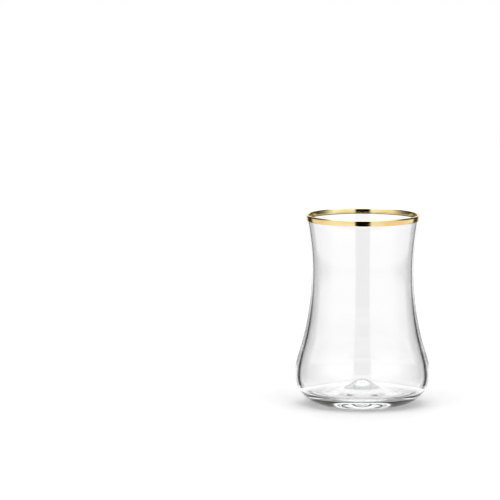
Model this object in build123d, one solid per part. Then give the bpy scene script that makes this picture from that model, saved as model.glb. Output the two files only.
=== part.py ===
from build123d import *
import math
import os

os.makedirs("parts", exist_ok=True)

# Waisted tea glass with a gilded lip. Millimetres, +Z up, the axis of the glass is Z
# and the origin is the centre of the resting ring, on the surface it stands on.

# Outer form, as radii and the heights they lie at
GLASS_HEIGHT = 86.0
RIM_RADIUS = 25.6
FLARE_LEAN = 9.0          # degrees the lip leans out from upright
WAIST_RADIUS, WAIST_HEIGHT = 23.0, 61.0
NECK_RADIUS, NECK_HEIGHT = 24.6, 40.6
SHOULDER_RADIUS, SHOULDER_HEIGHT = 28.45, 24.2
BELLY_RADIUS, BELLY_HEIGHT = 30.6, 14.2
RING_RADIUS = 17.5        # outer edge of the flat ring the glass rests on

# Thickness of the glass, measured level at the same heights
LIP_WALL = 1.05
WAIST_WALL = 1.05
NECK_WALL = 1.4
SHOULDER_WALL = 2.1
BELLY_WALL = 2.35

# Floor of the cavity, with its hump, and the hollow under the foot
FLOOR_RADIUS, FLOOR_HEIGHT = 23.8, 5.3
HUMP_FLANK_RADIUS, HUMP_FLANK_HEIGHT = 8.5, 8.0
HUMP_HEIGHT = 11.0
INNER_BELLY_DROP = 0.5    # how far the widest of the cavity lies below the belly
HOLLOW_RADIUS = 16.5
HOLLOW_DEPTH = 1.5

# Gilding, a thin skin folded over the lip
GOLD_SKIN = 0.1
GOLD_OUTSIDE = 1.95       # depth of the band below the round of the lip, outside
GOLD_INSIDE = 1.3         # the same, inside
LIP_LAND = 3.0            # straight part of the wall that carries the band


def at(radius, height):
    """A point of the half section, which lies in the XZ plane."""
    return Vector(radius, 0, height)


UP, INWARD = Vector(0, 0, 1), Vector(-1, 0, 0)
lean = math.radians(FLARE_LEAN)
ALONG = Vector(math.sin(lean), 0, math.cos(lean))    # up the leaning wall
OUT = Vector(math.cos(lean), 0, -math.sin(lean))     # square to it, away from the axis
LIP_ROUND = LIP_WALL / 2
LIP_CENTRE = at(RIM_RADIUS - LIP_ROUND, GLASS_HEIGHT - LIP_ROUND)


def lip_side(offset, drop):
    """A point beside the lip: offset square to the wall, drop down along it."""
    return LIP_CENTRE + OUT * offset - ALONG * drop


def turned(edges):
    """The solid of revolution of a closed half section."""
    return revolve(make_face(Wire(edges)), axis=Axis.Z)


def quarter_ellipse(low, high):
    """From low, where it runs level, to high, where it runs upright."""
    width, height = high.X - low.X, high.Z - low.Z
    section = Plane(origin=at(low.X, high.Z), x_dir=(1, 0, 0), z_dir=(0, -1, 0))
    return section * EllipticalCenterArc((0, 0), width, height, 270, arc_size=90)


def glass():
    """The whole glass as one solid: foot, belly, waisted wall and rounded lip."""
    belly = at(BELLY_RADIUS, BELLY_HEIGHT)
    waist = at(WAIST_RADIUS, WAIST_HEIGHT)
    ring = at(RING_RADIUS, 0)
    lip_out = lip_side(LIP_ROUND, 0)
    land_out = lip_side(LIP_ROUND, LIP_LAND)

    inner_belly = at(BELLY_RADIUS - BELLY_WALL, BELLY_HEIGHT - INNER_BELLY_DROP)
    inner_waist = at(WAIST_RADIUS - WAIST_WALL, WAIST_HEIGHT)
    floor = at(FLOOR_RADIUS, FLOOR_HEIGHT)
    lip_in = lip_side(-LIP_ROUND, 0)
    land_in = lip_side(-LIP_ROUND, LIP_LAND)

    outside = [
        quarter_ellipse(ring, belly),
        Spline(
            belly,
            at(SHOULDER_RADIUS, SHOULDER_HEIGHT),
            at(NECK_RADIUS, NECK_HEIGHT),
            waist,
            tangents=(UP, UP),
        ),
        Spline(waist, land_out, tangents=(UP, ALONG)),
        Line(land_out, lip_out),
    ]
    lip = [ThreePointArc(lip_out, LIP_CENTRE + ALONG * LIP_ROUND, lip_in)]
    inside = [
        Line(lip_in, land_in),
        Spline(land_in, inner_waist, tangents=(-ALONG, -UP)),
        Spline(
            inner_waist,
            at(NECK_RADIUS - NECK_WALL, NECK_HEIGHT),
            at(SHOULDER_RADIUS - SHOULDER_WALL, SHOULDER_HEIGHT),
            inner_belly,
            tangents=(-UP, -UP),
        ),
        quarter_ellipse(floor, inner_belly),
        Spline(
            floor,
            at(HUMP_FLANK_RADIUS, HUMP_FLANK_HEIGHT),
            at(0, HUMP_HEIGHT),
            tangents=(INWARD, INWARD),
        ),
    ]
    hollow_top = at(0, HOLLOW_DEPTH)
    hollow_edge = at(HOLLOW_RADIUS, 0)
    hollow_radius = (HOLLOW_RADIUS**2 + HOLLOW_DEPTH**2) / (2 * HOLLOW_DEPTH)
    half_span = math.asin(HOLLOW_RADIUS / hollow_radius) / 2
    hollow_mid = at(
        hollow_radius * math.sin(half_span),
        HOLLOW_DEPTH - hollow_radius * (1 - math.cos(half_span)),
    )
    foot = [
        Line(at(0, HUMP_HEIGHT), hollow_top),
        ThreePointArc(hollow_top, hollow_mid, hollow_edge),
        Line(hollow_edge, ring),
    ]
    return turned(outside + lip + inside + foot)


def gold_rim():
    """The gilding, seated face to face on the lip and the top of the wall."""
    skin = LIP_ROUND + GOLD_SKIN
    on_glass_out = lip_side(LIP_ROUND, GOLD_OUTSIDE)
    on_glass_in = lip_side(-LIP_ROUND, GOLD_INSIDE)
    faced_out = lip_side(skin, GOLD_OUTSIDE)
    faced_in = lip_side(-skin, GOLD_INSIDE)
    return turned([
        Line(on_glass_out, faced_out),
        Line(faced_out, lip_side(skin, 0)),
        ThreePointArc(lip_side(skin, 0), LIP_CENTRE + ALONG * skin, lip_side(-skin, 0)),
        Line(lip_side(-skin, 0), faced_in),
        Line(faced_in, on_glass_in),
        Line(on_glass_in, lip_side(-LIP_ROUND, 0)),
        ThreePointArc(
            lip_side(-LIP_ROUND, 0),
            LIP_CENTRE + ALONG * LIP_ROUND,
            lip_side(LIP_ROUND, 0),
        ),
        Line(lip_side(LIP_ROUND, 0), on_glass_out),
    ])


export_step(glass(), "parts/glass.step")
export_step(gold_rim(), "parts/gold_rim.step")
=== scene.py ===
"""Waisted tea glass with a gilded lip: its fine meshes, its finishes, its stage and its light.

Every size is in metres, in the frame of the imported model: +Z up along the axis of the
glass, with the origin at the centre of the ring it stands on.
"""

import logging
import math
from collections.abc import Sequence
from dataclasses import dataclass, field
from enum import Enum

import bmesh
import bpy
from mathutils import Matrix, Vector, geometry, noise


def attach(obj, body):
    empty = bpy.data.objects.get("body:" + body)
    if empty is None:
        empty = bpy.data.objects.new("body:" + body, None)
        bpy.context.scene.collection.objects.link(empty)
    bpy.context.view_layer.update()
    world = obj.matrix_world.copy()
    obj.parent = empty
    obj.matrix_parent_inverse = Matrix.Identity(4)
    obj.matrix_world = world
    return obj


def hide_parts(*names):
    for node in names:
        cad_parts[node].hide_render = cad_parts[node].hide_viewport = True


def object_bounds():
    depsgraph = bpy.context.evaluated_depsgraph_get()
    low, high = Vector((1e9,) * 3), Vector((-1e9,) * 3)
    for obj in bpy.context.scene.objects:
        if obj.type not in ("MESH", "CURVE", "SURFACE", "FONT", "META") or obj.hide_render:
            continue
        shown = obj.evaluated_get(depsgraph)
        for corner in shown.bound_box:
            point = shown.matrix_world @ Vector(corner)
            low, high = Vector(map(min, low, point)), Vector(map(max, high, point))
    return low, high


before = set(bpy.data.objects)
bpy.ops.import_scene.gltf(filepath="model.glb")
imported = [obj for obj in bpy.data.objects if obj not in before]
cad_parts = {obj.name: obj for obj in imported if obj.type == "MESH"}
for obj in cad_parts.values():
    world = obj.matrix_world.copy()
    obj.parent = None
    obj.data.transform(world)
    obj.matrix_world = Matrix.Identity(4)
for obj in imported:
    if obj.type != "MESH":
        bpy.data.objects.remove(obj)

CAD_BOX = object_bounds()
MM = 0.001
SAME_PLACE = 1e-8  # points of an outline nearer than this are one
WELD = 1e-7  # corners of a mesh nearer than this are merged
NOISE_LOW, NOISE_HIGH = 0.3, 0.7  # between these lies most of a noise
HALF_TURN = 180.0  # degrees
WHITE = (1.0, 1.0, 1.0, 1.0)

log = logging.getLogger("tea_glass")


class Ray(Enum):
    """What a finish or the room can tell of a ray: where it comes from, or how often it was mirrored."""

    FROM_EYE = "Is Camera Ray"
    FROM_MIRROR = "Is Glossy Ray"
    THROUGH_GLASS = "Is Transmission Ray"
    TIMES_MIRRORED = "Glossy Depth"


# --------------------------------------------------------------------------- outlines


def level(radius: float, height: float) -> Vector:
    """A point of the half section, which lies in the XZ plane.

    Args:
        radius: distance from the axis.
        height: distance above the ground.

    Returns:
        The point.
    """
    return Vector((radius, 0.0, height))


def heading(degrees: float) -> Vector:
    """A direction in the half section.

    Args:
        degrees: angle from straight up, positive where the outline leans away from
            the axis.

    Returns:
        The unit vector.
    """
    lean = math.radians(degrees)
    return Vector((math.sin(lean), 0.0, math.cos(lean)))


@dataclass(frozen=True)
class Station:
    """A place that an outline passes through, with the way it runs there."""

    point: Vector
    way: Vector


def flowing(start: Station, end: Station, steps: int) -> list[Vector]:
    """A gentle stretch of outline between two stations.

    Args:
        start: where the stretch leaves.
        end: where it arrives.
        steps: how many short edges it has.

    Returns:
        Its points, both ends included.
    """
    reach = (end.point - start.point).length / 3.0
    return geometry.interpolate_bezier(
        start.point,
        start.point + start.way * reach,
        end.point - end.way * reach,
        end.point,
        steps + 1,
    )


def quarter_oval(low: Vector, high: Vector, steps: int) -> list[Vector]:
    """A quarter of an ellipse that runs level at its low end and upright at its high end.

    Args:
        low: the low end.
        high: the high end, further from the axis.
        steps: how many short edges it has.

    Returns:
        Its points from low to high.
    """
    wide, tall = high.x - low.x, high.z - low.z
    turn = math.pi / 2 / steps
    return [
        level(low.x + wide * math.sin(turn * k), high.z - tall * math.cos(turn * k))
        for k in range(steps + 1)
    ]


def joined(stretches: Sequence[Sequence[Vector]]) -> list[Vector]:
    """One outline from stretches that follow each other end to end.

    Args:
        stretches: the stretches, in order.

    Returns:
        Their points with each shared end kept once.
    """
    outline: list[Vector] = []
    for stretch in stretches:
        for point in stretch:
            if not outline or (point - outline[-1]).length > SAME_PLACE:
                outline.append(point)
    return outline


# --------------------------------------------------------------------------- lathe work


@dataclass(frozen=True)
class Lathe:
    """Turns a half section into a closed mesh about the axis of the glass, in short turns."""

    turns: int = 256

    def turn(self, name: str, outline: Sequence[Vector], closed: bool) -> bmesh.types.BMesh:
        """Spins an outline a full turn.

        Args:
            name: what the piece is called, for the log.
            outline: the half section.
            closed: whether the last point joins the first, as on a ring; otherwise both
                ends lie on the axis.

        Returns:
            The spun bmesh, merged, with its faces pointing outwards.
        """
        mesh = bmesh.new()
        points = [mesh.verts.new(point) for point in outline]
        pairs = list(zip(points, points[1:]))
        if closed:
            pairs.append((points[-1], points[0]))
        edges = [mesh.edges.new(pair) for pair in pairs]
        bmesh.ops.spin(
            mesh,
            geom=points + edges,
            cent=(0.0, 0.0, 0.0),
            axis=(0.0, 0.0, 1.0),
            dvec=(0.0, 0.0, 0.0),
            angle=math.tau,
            steps=self.turns,
            use_merge=True,
            use_normal_flip=False,
            use_duplicate=False,
        )
        bmesh.ops.remove_doubles(mesh, verts=mesh.verts[:], dist=WELD)
        bmesh.ops.recalc_face_normals(mesh, faces=mesh.faces[:])
        log.info("%s spun: %d faces", name, len(mesh.faces))
        return mesh


def as_object(name: str, mesh: bmesh.types.BMesh) -> bpy.types.Object:
    """Puts a bmesh into the scene as a smooth-shaded object at the origin.

    Args:
        name: the object's name.
        mesh: the bmesh, which is freed.

    Returns:
        The new object.
    """
    for face in mesh.faces:
        face.smooth = True
    data = bpy.data.meshes.new(name)
    mesh.to_mesh(data)
    mesh.free()
    piece = bpy.data.objects.new(name, data)
    bpy.context.scene.collection.objects.link(piece)
    return piece


# --------------------------------------------------------------------------- finishes


@dataclass(frozen=True)
class Grain:
    """A noise pattern: features to a metre, how much closer they lie along X, Y and Z, and finer layers."""

    scale: float
    stretch: tuple[float, float, float] = (1.0, 1.0, 1.0)
    detail: float = 2.0


class Shading:
    """A node tree being wired."""

    def __init__(self, tree: bpy.types.NodeTree) -> None:
        """Starts from an empty tree.

        Args:
            tree: the node tree of a material or a world.
        """
        self.tree = tree
        tree.nodes.clear()

    def node(self, kind: str, **settings: object) -> bpy.types.Node:
        """Adds a node.

        Args:
            kind: the node's type, without its ShaderNode prefix.
            settings: attributes to set on it.

        Returns:
            The node.
        """
        made = self.tree.nodes.new("ShaderNode" + kind)
        for key, value in settings.items():
            setattr(made, key, value)
        return made

    def link(self, start: bpy.types.NodeSocket, end: bpy.types.NodeSocket) -> None:
        """Joins an output to an input."""
        self.tree.links.new(start, end)

    def maths(
        self, kind: str, first: bpy.types.NodeSocket, second: bpy.types.NodeSocket | float
    ) -> bpy.types.NodeSocket:
        """Adds a Math node on two values.

        Args:
            kind: the operation.
            first: the first value.
            second: the second value, a socket or a number.

        Returns:
            The result's socket.
        """
        made = self.node("Math", operation=kind)
        self.link(first, made.inputs[0])
        if isinstance(second, bpy.types.NodeSocket):
            self.link(second, made.inputs[1])
        else:
            made.inputs[1].default_value = second
        return made.outputs[0]

    def cloud(self, grain: Grain) -> bpy.types.NodeSocket:
        """A noise on the piece's own coordinates.

        Args:
            grain: the pattern.

        Returns:
            The noise's value, about 0.5.
        """
        mapping = self.node("Mapping")
        mapping.inputs["Scale"].default_value = grain.stretch
        self.link(self.node("TexCoord").outputs["Object"], mapping.inputs["Vector"])
        cloud = self.node("TexNoise")
        cloud.inputs["Scale"].default_value = grain.scale
        cloud.inputs["Detail"].default_value = grain.detail
        self.link(mapping.outputs[0], cloud.inputs["Vector"])
        return cloud.outputs[0]

    def between(self, value: bpy.types.NodeSocket, low: float, high: float) -> bpy.types.NodeSocket:
        """Spreads the middle of a noise over a range.

        Args:
            value: the noise.
            low: what its lowest value becomes.
            high: what its highest value becomes.

        Returns:
            The ranged value.
        """
        ranged = self.node("MapRange")
        ranged.inputs["From Min"].default_value = NOISE_LOW
        ranged.inputs["From Max"].default_value = NOISE_HIGH
        ranged.inputs["To Min"].default_value = low
        ranged.inputs["To Max"].default_value = high
        self.link(value, ranged.inputs["Value"])
        return ranged.outputs["Result"]

    def relief(self, height: bpy.types.NodeSocket, strength: float, depth: float) -> bpy.types.NodeSocket:
        """Raises and sinks a surface by a noise.

        Args:
            height: the noise.
            strength: how much of the relief shows.
            depth: how deep it is.

        Returns:
            The normal of the uneven surface.
        """
        bump = self.node("Bump")
        bump.inputs["Strength"].default_value = strength
        bump.inputs["Distance"].default_value = depth
        self.link(height, bump.inputs["Height"])
        return bump.outputs[0]


@dataclass(frozen=True)
class ClearGlass:
    """Colourless fire-polished soda-lime glass with the faint unevenness of a mould."""

    name: str = "clear_soda_glass"
    ior: float = 1.5
    tint: tuple[float, float, float] = (0.80, 0.90, 0.86)
    tint_density: float = 1.2
    film: Grain = Grain(90.0, (1.0, 1.0, 0.6), 3.0)
    film_roughness: float = 0.012
    swells: Grain = Grain(110.0, (1.0, 1.0, 0.35), 1.0)
    swell_strength: float = 0.35
    swell_depth: float = 0.02 * MM

    def material(self) -> bpy.types.Material:
        """Makes the material.

        Returns:
            A transmitting material with a faint body tint.
        """
        made = bpy.data.materials.new(self.name)
        made.use_nodes = True
        wiring = Shading(made.node_tree)
        shader = wiring.node("BsdfPrincipled")
        shader.inputs["Base Color"].default_value = WHITE
        shader.inputs["Transmission Weight"].default_value = 1.0
        shader.inputs["IOR"].default_value = self.ior

        film = wiring.between(wiring.cloud(self.film), 0.0, self.film_roughness)
        wiring.link(film, shader.inputs["Roughness"])
        swell = wiring.relief(wiring.cloud(self.swells), self.swell_strength, self.swell_depth)
        wiring.link(swell, shader.inputs["Normal"])

        body = wiring.node("VolumeAbsorption")
        body.inputs["Color"].default_value = (*self.tint, 1.0)
        body.inputs["Density"].default_value = self.tint_density

        out = wiring.node("OutputMaterial")
        wiring.link(shader.outputs[0], out.inputs["Surface"])
        wiring.link(body.outputs[0], out.inputs["Volume"])
        return made


@dataclass(frozen=True)
class FiredGold:
    """A fired gold film, banded on by brush, with faint streaks round the lip."""

    name: str = "fired_gold_film"
    thick: tuple[float, float, float] = (0.86, 0.62, 0.27)
    thin: tuple[float, float, float] = (0.98, 0.84, 0.47)
    pools: Grain = Grain(70.0, (1.0, 1.0, 2.0), 2.0)
    pool_edges: tuple[float, float] = (0.35, 0.65)
    strokes: Grain = Grain(260.0, (1.0, 1.0, 9.0), 4.0)
    stroke_roughness: tuple[float, float] = (0.06, 0.16)
    stroke_strength: float = 0.25
    stroke_depth: float = 0.008 * MM

    def material(self) -> bpy.types.Material:
        """Makes the material.

        Returns:
            A polished metal whose colour and gloss vary along the brush strokes.
        """
        made = bpy.data.materials.new(self.name)
        made.use_nodes = True
        wiring = Shading(made.node_tree)
        shader = wiring.node("BsdfPrincipled")
        shader.inputs["Metallic"].default_value = 1.0

        pools = wiring.node("ValToRGB")
        film = zip(pools.color_ramp.elements, self.pool_edges, (self.thin, self.thick))
        for stop, edge, color in film:
            stop.position, stop.color = edge, (*color, 1.0)
        wiring.link(wiring.cloud(self.pools), pools.inputs[0])
        wiring.link(pools.outputs[0], shader.inputs["Base Color"])

        strokes = wiring.cloud(self.strokes)
        wiring.link(wiring.between(strokes, *self.stroke_roughness), shader.inputs["Roughness"])
        relief = wiring.relief(strokes, self.stroke_strength, self.stroke_depth)
        wiring.link(relief, shader.inputs["Normal"])

        out = wiring.node("OutputMaterial")
        wiring.link(shader.outputs[0], out.inputs["Surface"])
        return made


@dataclass(frozen=True)
class WhiteTable:
    """A matt white table top that takes a shadow, lifted a little for the eye and for mirrors and glass."""

    name: str = "white_table"
    paint: float = 0.92
    grain: Grain = Grain(400.0)
    grain_depth: float = 0.01
    lift: float = 0.10
    mirrored_lift: float = 0.25

    def material(self) -> bpy.types.Material:
        """Makes the material.

        Returns:
            Matt white paint with the lift added as a faint glow.
        """
        made = bpy.data.materials.new(self.name)
        made.use_nodes = True
        wiring = Shading(made.node_tree)
        paint = wiring.node("BsdfDiffuse")
        grain = wiring.cloud(self.grain)
        tone = wiring.between(grain, self.paint - self.grain_depth, self.paint + self.grain_depth)
        grey = wiring.node("CombineColor")
        for channel in grey.inputs:
            wiring.link(tone, channel)
        wiring.link(grey.outputs[0], paint.inputs["Color"])

        rays = wiring.node("LightPath")
        direct = wiring.maths("MULTIPLY", rays.outputs[Ray.FROM_EYE.value], self.lift)
        mirrored = wiring.maths(
            "MAXIMUM", rays.outputs[Ray.FROM_MIRROR.value], rays.outputs[Ray.THROUGH_GLASS.value]
        )
        mirrored = wiring.maths("MULTIPLY", mirrored, self.mirrored_lift)
        lift = wiring.node("Emission")
        wiring.link(wiring.maths("MAXIMUM", direct, mirrored), lift.inputs["Strength"])

        both = wiring.node("AddShader")
        wiring.link(paint.outputs[0], both.inputs[0])
        wiring.link(lift.outputs[0], both.inputs[1])
        out = wiring.node("OutputMaterial")
        wiring.link(both.outputs[0], out.inputs["Surface"])
        return made


# --------------------------------------------------------------------------- the glass


@dataclass(frozen=True)
class Lip:
    """The rounded lip and the straight land below it, which carries the gilding."""

    radius: float = 25.6 * MM
    height: float = 86.0 * MM
    wall: float = 1.05 * MM
    lean: float = 9.0
    land: float = 3.0 * MM

    @property
    def up(self) -> Vector:
        """Up along the leaning wall."""
        return heading(self.lean)

    @property
    def out(self) -> Vector:
        """Square to the wall, away from the axis."""
        return heading(self.lean + 90.0)

    @property
    def centre(self) -> Vector:
        """The centre of the round of the lip."""
        return level(self.radius - self.wall / 2, self.height - self.wall / 2)

    def beside(self, offset: float, drop: float) -> Vector:
        """A point beside the lip.

        Args:
            offset: distance from the middle of the wall, positive outwards.
            drop: distance below the centre of the round, along the wall.

        Returns:
            The point.
        """
        return self.centre + self.out * offset - self.up * drop

    def side(self, offset: float, start: float, end: float, steps: int) -> list[Vector]:
        """A straight stretch beside the lip.

        Args:
            offset: distance from the middle of the wall, positive outwards.
            start: drop at its first point.
            end: drop at its last point.
            steps: how many short edges it has.

        Returns:
            Its points.
        """
        return [
            self.beside(offset, start + (end - start) * k / steps) for k in range(steps + 1)
        ]

    def crown(self, reach: float, steps: int) -> list[Vector]:
        """The half round over the lip, from outside to inside.

        Args:
            reach: its radius.
            steps: how many short edges it has.

        Returns:
            Its points.
        """
        return [
            self.centre
            + self.out * (reach * math.cos(math.pi * k / steps))
            + self.up * (reach * math.sin(math.pi * k / steps))
            for k in range(steps + 1)
        ]


@dataclass(frozen=True)
class TeaGlass:
    """The clear body: foot, belly, waisted wall, flared mouth and domed floor."""

    lip: Lip = field(default_factory=Lip)
    finish: ClearGlass = field(default_factory=ClearGlass)
    waist: tuple[float, float] = (23.0 * MM, 61.0 * MM)
    neck: tuple[float, float] = (24.6 * MM, 40.6 * MM)
    shoulder: tuple[float, float] = (28.45 * MM, 24.2 * MM)
    belly: tuple[float, float] = (30.6 * MM, 14.2 * MM)
    neck_lean: float = -9.4
    shoulder_lean: float = -17.6
    waist_wall: float = 1.05 * MM
    neck_wall: float = 1.4 * MM
    shoulder_wall: float = 2.1 * MM
    belly_wall: float = 2.35 * MM
    inner_belly_drop: float = 0.5 * MM
    inner_neck_lean: float = -7.2
    inner_shoulder_lean: float = -16.0
    ring: float = 17.5 * MM
    hollow: tuple[float, float] = (16.5 * MM, 1.5 * MM)
    floor: tuple[float, float] = (23.8 * MM, 5.3 * MM)
    flank: tuple[float, float] = (8.5 * MM, 8.0 * MM)
    flank_slope: float = -70.0
    hump: float = 11.0 * MM
    unevenness: float = 0.02 * MM
    uneven_grain: tuple[float, float] = (70.0, 31.5)  # to a metre: across, and along the axis
    uneven_fade: float = 10.0 * MM
    hollow_steps: int = 12
    outer_belly_steps: int = 40
    outer_shoulder_steps: int = 18
    inner_belly_steps: int = 32
    wall_steps: int = 16
    land_steps: int = 4
    crown_steps: int = 14
    floor_steps: int = 14
    hump_steps: int = 26

    def under_foot(self) -> list[Vector]:
        """The shallow hollow under the foot and the flat ring around it.

        Returns:
            Points from the axis to the outer edge of the ring.
        """
        reach, depth = self.hollow
        sweep = (reach**2 + depth**2) / (2 * depth)
        turn = math.asin(reach / sweep) / self.hollow_steps
        dome = [
            level(sweep * math.sin(turn * k), depth - sweep * (1 - math.cos(turn * k)))
            for k in range(self.hollow_steps + 1)
        ]
        return joined([dome, [level(reach, 0.0), level(self.ring, 0.0)]])

    def outer_wall(self) -> list[Vector]:
        """The outside, from the resting ring to the straight land under the lip.

        Returns:
            Points going up.
        """
        belly = Station(level(*self.belly), heading(0.0))
        shoulder = Station(level(*self.shoulder), heading(self.shoulder_lean))
        neck = Station(level(*self.neck), heading(self.neck_lean))
        waist = Station(level(*self.waist), heading(0.0))
        land = Station(self.lip.beside(self.lip.wall / 2, self.lip.land), self.lip.up)
        return joined([
            quarter_oval(level(self.ring, 0.0), belly.point, self.outer_belly_steps),
            flowing(belly, shoulder, self.outer_shoulder_steps),
            flowing(shoulder, neck, self.wall_steps),
            flowing(neck, waist, self.wall_steps),
            flowing(waist, land, self.wall_steps),
        ])

    def inner_wall(self) -> list[Vector]:
        """The inside, from the floor's edge to the straight land under the lip.

        Returns:
            Points going up.
        """
        belly = Station(
            level(self.belly[0] - self.belly_wall, self.belly[1] - self.inner_belly_drop),
            heading(0.0),
        )
        shoulder = Station(
            level(self.shoulder[0] - self.shoulder_wall, self.shoulder[1]),
            heading(self.inner_shoulder_lean),
        )
        neck = Station(
            level(self.neck[0] - self.neck_wall, self.neck[1]), heading(self.inner_neck_lean)
        )
        waist = Station(level(self.waist[0] - self.waist_wall, self.waist[1]), heading(0.0))
        land = Station(self.lip.beside(-self.lip.wall / 2, self.lip.land), self.lip.up)
        return joined([
            quarter_oval(level(*self.floor), belly.point, self.inner_belly_steps),
            flowing(belly, shoulder, self.wall_steps),
            flowing(shoulder, neck, self.wall_steps),
            flowing(neck, waist, self.wall_steps),
            flowing(waist, land, self.wall_steps),
        ])

    def domed_floor(self) -> list[Vector]:
        """The floor of the cavity, from its edge up to the top of the hump.

        Returns:
            Points going towards the axis.
        """
        edge = Station(level(*self.floor), heading(-90.0))
        flank = Station(level(*self.flank), heading(self.flank_slope))
        top = Station(level(0.0, self.hump), heading(-90.0))
        return joined([flowing(edge, flank, self.floor_steps), flowing(flank, top, self.hump_steps)])

    def outline(self) -> list[Vector]:
        """The whole half section.

        Returns:
            Points from the axis under the foot, round the lip, to the axis on the hump.
        """
        half = self.lip.wall / 2
        inner = self.inner_wall()
        return joined([
            self.under_foot(),
            self.outer_wall(),
            self.lip.side(half, self.lip.land, 0.0, self.land_steps),
            self.lip.crown(half, self.crown_steps),
            self.lip.side(-half, 0.0, self.lip.land, self.land_steps),
            inner[::-1],
            self.domed_floor(),
        ])

    def build(self) -> bpy.types.Object:
        """Spins the body and gives the cavity a mould's faint unevenness.

        Returns:
            The clear body.
        """
        mesh = Lathe().turn("tea_glass_body", self.outline(), closed=False)
        top = self.lip.height - 2 * self.lip.land
        across, along = self.uneven_grain
        for vert in mesh.verts:
            inside = vert.normal.dot(Vector((vert.co.x, vert.co.y, 0.0))) < 0.0
            room = min(vert.co.z - self.belly[1], top - vert.co.z)
            if inside and room > 0.0:
                swell = noise.noise(vert.co * Vector((across, across, along)))
                vert.co += vert.normal * (self.unevenness * min(1.0, room / self.uneven_fade) * swell)
        return as_object("tea_glass_body", mesh)

    def dress(self, piece: bpy.types.Object) -> None:
        """Gives the body its finish and its place in the frame.

        Args:
            piece: the clear body.
        """
        piece.data.materials.append(self.finish.material())
        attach(piece, "root")
        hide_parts("glass")


@dataclass(frozen=True)
class Gilding:
    """The gold film folded over the lip."""

    lip: Lip = field(default_factory=Lip)
    finish: FiredGold = field(default_factory=FiredGold)
    skin: float = 0.1 * MM
    bedding: float = 0.012 * MM
    outside: float = 1.95 * MM
    inside: float = 1.3 * MM
    wander: float = 0.05 * MM
    wander_grain: float = 160.0  # to a metre
    face_steps: int = 8
    face_crown_steps: int = 24
    seat_steps: int = 4
    seat_crown_steps: int = 18

    def outline(self) -> list[Vector]:
        """The half section of the film, a closed loop.

        Returns:
            Points from the band's outer foot, over the lip, and back along the glass.
        """
        half = self.lip.wall / 2
        face, seat = half + self.skin, half - self.bedding
        soft = self.skin / 2
        return joined([
            [self.lip.beside(half + soft, self.outside)],
            self.lip.side(face, self.outside - soft, 0.0, self.face_steps),
            self.lip.crown(face, self.face_crown_steps),
            self.lip.side(-face, 0.0, self.inside - soft, self.face_steps),
            [self.lip.beside(-half - soft, self.inside)],
            self.lip.side(-seat, self.inside, 0.0, self.seat_steps),
            self.lip.crown(seat, self.seat_crown_steps)[::-1],
            self.lip.side(seat, 0.0, self.outside, self.seat_steps),
        ])

    def build(self) -> bpy.types.Object:
        """Spins the film and lets its two edges wander as a hand-held brush does.

        Returns:
            The gold band.
        """
        mesh = Lathe().turn("gold_band", self.outline(), closed=True)
        straight = self.lip.centre.z - self.outside / 2
        for vert in mesh.verts:
            if vert.co.z < straight:
                share = min(1.0, (straight - vert.co.z) / (self.inside / 2))
                place = Vector((vert.co.x, vert.co.y, 0.0)) * self.wander_grain
                vert.co.z += self.wander * share * noise.noise(place)
        return as_object("gold_band", mesh)

    def dress(self, piece: bpy.types.Object) -> None:
        """Gives the film its finish and its place in the frame.

        Args:
            piece: the gold band.
        """
        piece.data.materials.append(self.finish.material())
        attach(piece, "root")
        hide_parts("gold_rim")


# --------------------------------------------------------------------------- the stage


@dataclass(frozen=True)
class Table:
    """A round white stand, in a wide white floor a hair lower that only the eye sees."""

    finish: WhiteTable = field(default_factory=WhiteTable)
    stand_radius: float = 45.0 * MM
    stand_sides: int = 160
    floor_reach: float = 1200.0 * MM
    gap: float = 0.05 * MM

    def lay(self, name: str, mesh: bmesh.types.BMesh, drop: float) -> bpy.types.Object:
        """Lays a flat piece of the stage under the glass.

        Args:
            name: the piece's name.
            mesh: the flat piece, about the origin.
            drop: how far below the lowest point of the glass it lies.

        Returns:
            The piece, with the table's finish.
        """
        bmesh.ops.translate(mesh, vec=(0.0, 0.0, CAD_BOX[0][2] - drop), verts=mesh.verts[:])
        piece = as_object(name, mesh)
        piece.data.materials.append(self.finish.material())
        return piece

    def build(self) -> tuple[bpy.types.Object, bpy.types.Object]:
        """Lays the stand just under the resting ring, and the floor about it.

        Returns:
            The stand and the floor.
        """
        disc = bmesh.new()
        bmesh.ops.create_circle(
            disc, cap_ends=True, segments=self.stand_sides, radius=self.stand_radius
        )
        stand = self.lay("white_stand", disc, self.gap)

        plane = bmesh.new()
        bmesh.ops.create_grid(plane, x_segments=1, y_segments=1, size=self.floor_reach)
        floor = self.lay("white_floor", plane, 2 * self.gap)
        floor.visible_diffuse = floor.visible_glossy = False
        floor.visible_transmission = floor.visible_shadow = False
        return stand, floor


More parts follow.
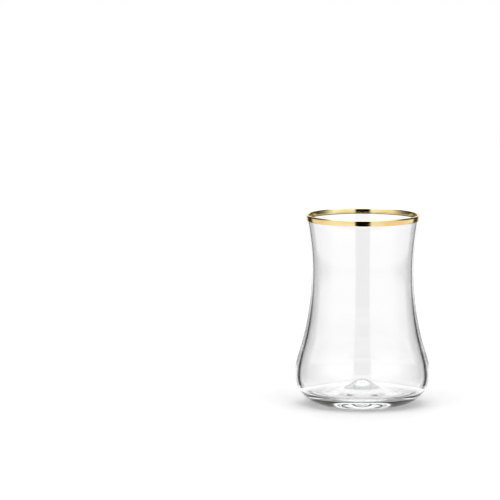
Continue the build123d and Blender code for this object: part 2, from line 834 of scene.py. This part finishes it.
@dataclass(frozen=True)
class Tier:
    """The lights and gaps round the glass at one height of the room.

    Angles are in degrees. Those about the axis of the glass run from the front (0) to
    the back (180) and are the same on both sides; the others are above the level.
    """

    takes_over: tuple[float, float]
    stops: tuple[tuple[float, float], ...]

    def ring(self, wiring: Shading, turn: bpy.types.NodeSocket) -> bpy.types.NodeSocket:
        """Lays the tier's lights and gaps out round the glass.

        Args:
            wiring: the world's wiring.
            turn: the angle from the front, as a share of a half turn.

        Returns:
            The light at that angle.
        """
        made = wiring.node("ValToRGB")
        ramp = made.color_ramp
        for end, (_, light) in zip(ramp.elements, (self.stops[0], self.stops[-1])):
            end.color = (light, light, light, 1.0)
        ramp.elements[0].position, ramp.elements[1].position = 0.0, 1.0
        for angle, light in self.stops[1:-1]:
            ramp.elements.new(angle / HALF_TURN).color = (light, light, light, 1.0)
        wiring.link(turn, made.inputs[0])
        return made.outputs[0]

    def risen(self, wiring: Shading, height: bpy.types.NodeSocket) -> bpy.types.NodeSocket:
        """How far this tier has taken over from the one below.

        Args:
            wiring: the world's wiring.
            height: the sine of the angle above the level.

        Returns:
            A value from 0 to 1.
        """
        made = wiring.node("MapRange", interpolation_type="SMOOTHSTEP")
        for name, angle in zip(("From Min", "From Max"), self.takes_over):
            made.inputs[name].default_value = math.sin(math.radians(angle))
        wiring.link(height, made.inputs["Value"])
        return made.outputs["Result"]


@dataclass(frozen=True)
class Studio:
    """A white room: soft lights at both sides and above, a white back, dark gaps between.

    Its tiers are the ground, the sides, the raised lights, the overhead light and the
    ceiling. What is seen straight through the glass, with no reflection on the way, is
    veiled in white, so that the gaps draw the glass's edges and don't smoke its walls.
    """

    front_light: float = 0.0
    front_gap: tuple[float, float] = (14.5, 18.0)
    ground_light: float = 1.0
    ground_end: tuple[float, float] = (124.0, 132.0)
    ground_back: float = 0.35
    side_light: float = 0.72
    raised_light: float = 1.0
    faded_light: float = 0.22
    side_fade: tuple[float, float, float] = (66.0, 94.0, 114.0)
    gap_light: float = 0.05
    back_start: tuple[float, float] = (151.0, 157.0)
    back_light: float = 1.0
    overhead_light: float = 2.0
    ceiling_light: float = 1.2
    ground: tuple[float, float] = (-90.0, -89.0)
    rises: tuple[tuple[float, float], ...] = (
        (-13.8, -9.6), (1.0, 8.0), (44.0, 58.0), (74.0, 80.0)
    )
    veil: float = 0.8
    unmirrored: float = 0.5  # a ray mirrored fewer times than this was never mirrored

    def around(
        self, ends: Sequence[float], fade: Sequence[float], back: float
    ) -> tuple[tuple[float, float], ...]:
        """One tier with a dark front, a light at the side, a gap and a back.

        Args:
            ends: the angles at which the side light steps down to the gap.
            fade: the light at each of those angles, starting with the side's own.
            back: the light at the back.

        Returns:
            The angles from the front with the light at each.
        """
        return (
            (0.0, self.front_light),
            (self.front_gap[0], self.front_light),
            (self.front_gap[1], fade[0]),
            *zip(ends, fade),
            (self.back_start[0], self.gap_light),
            (self.back_start[1], back),
            (HALF_TURN, back),
        )

    def tiers(self) -> tuple[Tier, ...]:
        """The room from the ground up.

        Returns:
            Its tiers, each above the one before.
        """
        gap, faded = self.gap_light, self.faded_light
        rounds = (
            self.around(self.ground_end, (self.ground_light, gap), self.ground_back),
            self.around(self.side_fade, (self.side_light, faded, gap), self.back_light),
            self.around(self.side_fade, (self.raised_light, faded, gap), self.back_light),
            ((0.0, self.overhead_light), (HALF_TURN, self.overhead_light)),
            ((0.0, self.ceiling_light), (HALF_TURN, self.ceiling_light)),
        )
        return tuple(Tier(rise, stops) for rise, stops in zip((self.ground, *self.rises), rounds))

    def build(self) -> bpy.types.World:
        """Makes the world that lights the glass.

        Returns:
            The world, white to the eye, veiled through the glass, and laid out in soft
            lights for everything else.
        """
        world = bpy.data.worlds.new("soft_light_studio")
        bpy.context.scene.world = world
        world.use_nodes = True
        wiring = Shading(world.node_tree)

        ways = wiring.node("SeparateXYZ")
        wiring.link(wiring.node("TexCoord").outputs["Generated"], ways.inputs[0])
        aside = wiring.node("Math", operation="ABSOLUTE")
        wiring.link(ways.outputs["X"], aside.inputs[0])
        ahead = wiring.maths("MULTIPLY", ways.outputs["Y"], -1.0)
        turn = wiring.maths("ARCTAN2", aside.outputs[0], ahead)
        turn = wiring.maths("DIVIDE", turn, math.pi)

        ground, *upper = self.tiers()
        light = ground.ring(wiring, turn)
        for tier in upper:
            room = wiring.node("Mix")
            wiring.link(tier.risen(wiring, ways.outputs["Z"]), room.inputs[0])
            wiring.link(light, room.inputs[2])
            wiring.link(tier.ring(wiring, turn), room.inputs[3])
            light = room.outputs[0]

        rays = wiring.node("LightPath")
        straight = wiring.maths("LESS_THAN", rays.outputs[Ray.TIMES_MIRRORED.value], self.unmirrored)
        straight = wiring.maths("MULTIPLY", straight, rays.outputs[Ray.THROUGH_GLASS.value])
        white = wiring.maths("MULTIPLY", straight, self.veil)
        white = wiring.maths("MAXIMUM", rays.outputs[Ray.FROM_EYE.value], white)
        mixed = wiring.node("Mix")
        wiring.link(white, mixed.inputs[0])
        wiring.link(light, mixed.inputs[2])
        mixed.inputs[3].default_value = 1.0
        sky = wiring.node("Background")
        sky.inputs["Color"].default_value = WHITE
        wiring.link(mixed.outputs[0], sky.inputs["Strength"])
        out = wiring.node("OutputWorld")
        wiring.link(sky.outputs[0], out.inputs["Surface"])
        return world


@dataclass(frozen=True)
class Eye:
    """The camera: a long lens a little above the glass, with the glass right of centre."""

    lens: float = 300.0
    sensor: float = 36.0
    clip: tuple[float, float] = (0.01, 50.0)
    distance: float = 1.868
    height: float = 0.2988
    aim_aside: float = -0.0509
    aim_height: float = 0.0697

    def build(self) -> bpy.types.Object:
        """Sets up the camera and makes it the scene's own.

        Returns:
            The camera object.
        """
        data = bpy.data.cameras.new("eye")
        data.lens = self.lens
        data.sensor_width = self.sensor
        data.clip_start, data.clip_end = self.clip
        camera = bpy.data.objects.new("eye", data)
        bpy.context.scene.collection.objects.link(camera)
        place = Vector((0.0, -self.distance, self.height))
        aim = Vector((self.aim_aside, 0.0, self.aim_height))
        camera.location = place
        camera.rotation_euler = (aim - place).to_track_quat("-Z", "Y").to_euler()
        bpy.context.scene.camera = camera
        return camera


@dataclass(frozen=True)
class LightPaths:
    """How often light may turn, enough for the many glass surfaces that it crosses."""

    all_turns: int = 32
    through_glass: int = 28
    mirrored: int = 12
    off_matt: int = 4

    def apply(self) -> None:
        """Sets the paths, with the plain view transform."""
        scene = bpy.context.scene
        scene.view_settings.view_transform = "Standard"
        scene.cycles.max_bounces = self.all_turns
        scene.cycles.transmission_bounces = self.through_glass
        scene.cycles.glossy_bounces = self.mirrored
        scene.cycles.diffuse_bounces = self.off_matt
        scene.cycles.use_denoising = True


def main() -> None:
    """Builds the glass, its gilding, its stage and its light, in that order."""
    logging.basicConfig(level=logging.INFO, format="%(name)s: %(message)s")
    LightPaths().apply()
    for sub_assembly in (TeaGlass(), Gilding()):
        piece = sub_assembly.build()
        sub_assembly.dress(piece)
        log.info("%s dressed: %d vertices", piece.name, len(piece.data.vertices))
    for stage in Table().build():
        log.info("%s laid", stage.name)
    log.info("%s lit", Studio().build().name)
    log.info("%s set", Eye().build().name)


if __name__ == "__main__":
    main()
